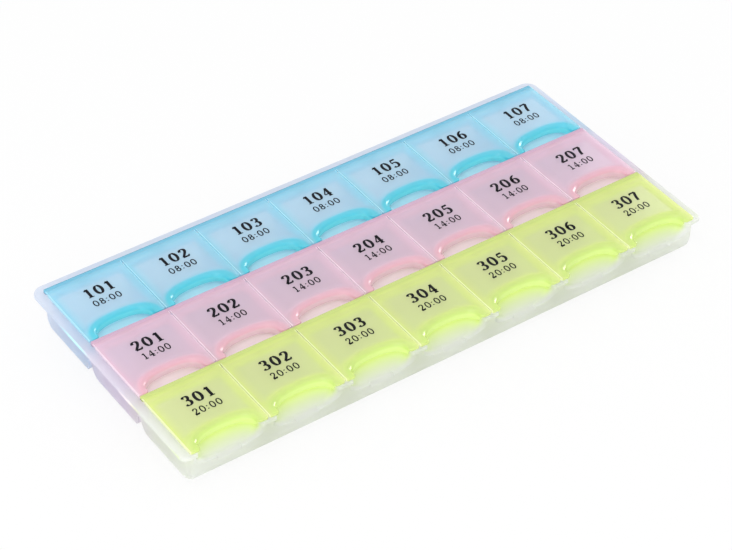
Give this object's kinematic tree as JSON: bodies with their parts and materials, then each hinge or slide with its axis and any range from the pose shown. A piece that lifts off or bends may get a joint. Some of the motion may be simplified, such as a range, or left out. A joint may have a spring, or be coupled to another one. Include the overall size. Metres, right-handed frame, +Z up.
{
  "type": "weekly pill organizer",
  "caption": "Shallow frosted pill organizer with three rows of compartments, each closed by its own tinted lid with an arched thumb notch, on coloured living-hinge strips.",
  "frame": {"origin": "on the ground, below the middle of the tray's flange", "axes": "+X along the rows, +Y from the thumb notches to the hinges, +Z up out of the compartments"},
  "size_m": [0.2166, 0.101, 0.017],
  "materials": {
    "tray_plastic": "frosted translucent polypropylene",
    "morning_lid_plastic": "clear light blue tint",
    "noon_lid_plastic": "clear pink tint",
    "night_lid_plastic": "clear yellow-green tint"
  },
  "bodies": {
    "tray": {"tray": "tray_plastic", "night_hinge_strip": "night_lid_plastic", "noon_hinge_strip": "noon_lid_plastic", "morning_hinge_strip": "morning_lid_plastic"},
    "night_lid_1": {"night_lid_1": "night_lid_plastic"},
    "night_lid_2": {"night_lid_2": "night_lid_plastic"},
    "night_lid_3": {"night_lid_3": "night_lid_plastic"},
    "night_lid_4": {"night_lid_4": "night_lid_plastic"},
    "night_lid_5": {"night_lid_5": "night_lid_plastic"},
    "night_lid_6": {"night_lid_6": "night_lid_plastic"},
    "night_lid_7": {"night_lid_7": "night_lid_plastic"},
    "noon_lid_1": {"noon_lid_1": "noon_lid_plastic"},
    "noon_lid_2": {"noon_lid_2": "noon_lid_plastic"},
    "noon_lid_3": {"noon_lid_3": "noon_lid_plastic"},
    "noon_lid_4": {"noon_lid_4": "noon_lid_plastic"},
    "noon_lid_5": {"noon_lid_5": "noon_lid_plastic"},
    "noon_lid_6": {"noon_lid_6": "noon_lid_plastic"},
    "noon_lid_7": {"noon_lid_7": "noon_lid_plastic"},
    "morning_lid_1": {"morning_lid_1": "morning_lid_plastic"},
    "morning_lid_2": {"morning_lid_2": "morning_lid_plastic"},
    "morning_lid_3": {"morning_lid_3": "morning_lid_plastic"},
    "morning_lid_4": {"morning_lid_4": "morning_lid_plastic"},
    "morning_lid_5": {"morning_lid_5": "morning_lid_plastic"},
    "morning_lid_6": {"morning_lid_6": "morning_lid_plastic"},
    "morning_lid_7": {"morning_lid_7": "morning_lid_plastic"}
  },
  "joints": [
    {"name": "night_lid_1_hinge", "type": "hinge", "parent": "tray", "child": "night_lid_1", "pos_m": [-0.09, -0.01945, 0.0168], "axis": [-1, 0, 0], "range_deg": [0, 140]},
    {"name": "night_lid_2_hinge", "type": "hinge", "parent": "tray", "child": "night_lid_2", "pos_m": [-0.06, -0.01945, 0.0168], "axis": [-1, 0, 0], "range_deg": [0, 140]},
    {"name": "night_lid_3_hinge", "type": "hinge", "parent": "tray", "child": "night_lid_3", "pos_m": [-0.03, -0.01945, 0.0168], "axis": [-1, 0, 0], "range_deg": [0, 140]},
    {"name": "night_lid_4_hinge", "type": "hinge", "parent": "tray", "child": "night_lid_4", "pos_m": [0, -0.01945, 0.0168], "axis": [-1, 0, 0], "range_deg": [0, 140]},
    {"name": "night_lid_5_hinge", "type": "hinge", "parent": "tray", "child": "night_lid_5", "pos_m": [0.03, -0.01945, 0.0168], "axis": [-1, 0, 0], "range_deg": [0, 140]},
    {"name": "night_lid_6_hinge", "type": "hinge", "parent": "tray", "child": "night_lid_6", "pos_m": [0.06, -0.01945, 0.0168], "axis": [-1, 0, 0], "range_deg": [0, 140]},
    {"name": "night_lid_7_hinge", "type": "hinge", "parent": "tray", "child": "night_lid_7", "pos_m": [0.09, -0.01945, 0.0168], "axis": [-1, 0, 0], "range_deg": [0, 140]},
    {"name": "noon_lid_1_hinge", "type": "hinge", "parent": "tray", "child": "noon_lid_1", "pos_m": [-0.09, 0.01255, 0.0168], "axis": [-1, 0, 0], "range_deg": [0, 140]},
    {"name": "noon_lid_2_hinge", "type": "hinge", "parent": "tray", "child": "noon_lid_2", "pos_m": [-0.06, 0.01255, 0.0168], "axis": [-1, 0, 0], "range_deg": [0, 140]},
    {"name": "noon_lid_3_hinge", "type": "hinge", "parent": "tray", "child": "noon_lid_3", "pos_m": [-0.03, 0.01255, 0.0168], "axis": [-1, 0, 0], "range_deg": [0, 140]},
    {"name": "noon_lid_4_hinge", "type": "hinge", "parent": "tray", "child": "noon_lid_4", "pos_m": [0, 0.01255, 0.0168], "axis": [-1, 0, 0], "range_deg": [0, 140]},
    {"name": "noon_lid_5_hinge", "type": "hinge", "parent": "tray", "child": "noon_lid_5", "pos_m": [0.03, 0.01255, 0.0168], "axis": [-1, 0, 0], "range_deg": [0, 140]},
    {"name": "noon_lid_6_hinge", "type": "hinge", "parent": "tray", "child": "noon_lid_6", "pos_m": [0.06, 0.01255, 0.0168], "axis": [-1, 0, 0], "range_deg": [0, 140]},
    {"name": "noon_lid_7_hinge", "type": "hinge", "parent": "tray", "child": "noon_lid_7", "pos_m": [0.09, 0.01255, 0.0168], "axis": [-1, 0, 0], "range_deg": [0, 140]},
    {"name": "morning_lid_1_hinge", "type": "hinge", "parent": "tray", "child": "morning_lid_1", "pos_m": [-0.09, 0.04455, 0.0168], "axis": [-1, 0, 0], "range_deg": [0, 140]},
    {"name": "morning_lid_2_hinge", "type": "hinge", "parent": "tray", "child": "morning_lid_2", "pos_m": [-0.06, 0.04455, 0.0168], "axis": [-1, 0, 0], "range_deg": [0, 140]},
    {"name": "morning_lid_3_hinge", "type": "hinge", "parent": "tray", "child": "morning_lid_3", "pos_m": [-0.03, 0.04455, 0.0168], "axis": [-1, 0, 0], "range_deg": [0, 140]},
    {"name": "morning_lid_4_hinge", "type": "hinge", "parent": "tray", "child": "morning_lid_4", "pos_m": [0, 0.04455, 0.0168], "axis": [-1, 0, 0], "range_deg": [0, 140]},
    {"name": "morning_lid_5_hinge", "type": "hinge", "parent": "tray", "child": "morning_lid_5", "pos_m": [0.03, 0.04455, 0.0168], "axis": [-1, 0, 0], "range_deg": [0, 140]},
    {"name": "morning_lid_6_hinge", "type": "hinge", "parent": "tray", "child": "morning_lid_6", "pos_m": [0.06, 0.04455, 0.0168], "axis": [-1, 0, 0], "range_deg": [0, 140]},
    {"name": "morning_lid_7_hinge", "type": "hinge", "parent": "tray", "child": "morning_lid_7", "pos_m": [0.09, 0.04455, 0.0168], "axis": [-1, 0, 0], "range_deg": [0, 140]}
  ]
}
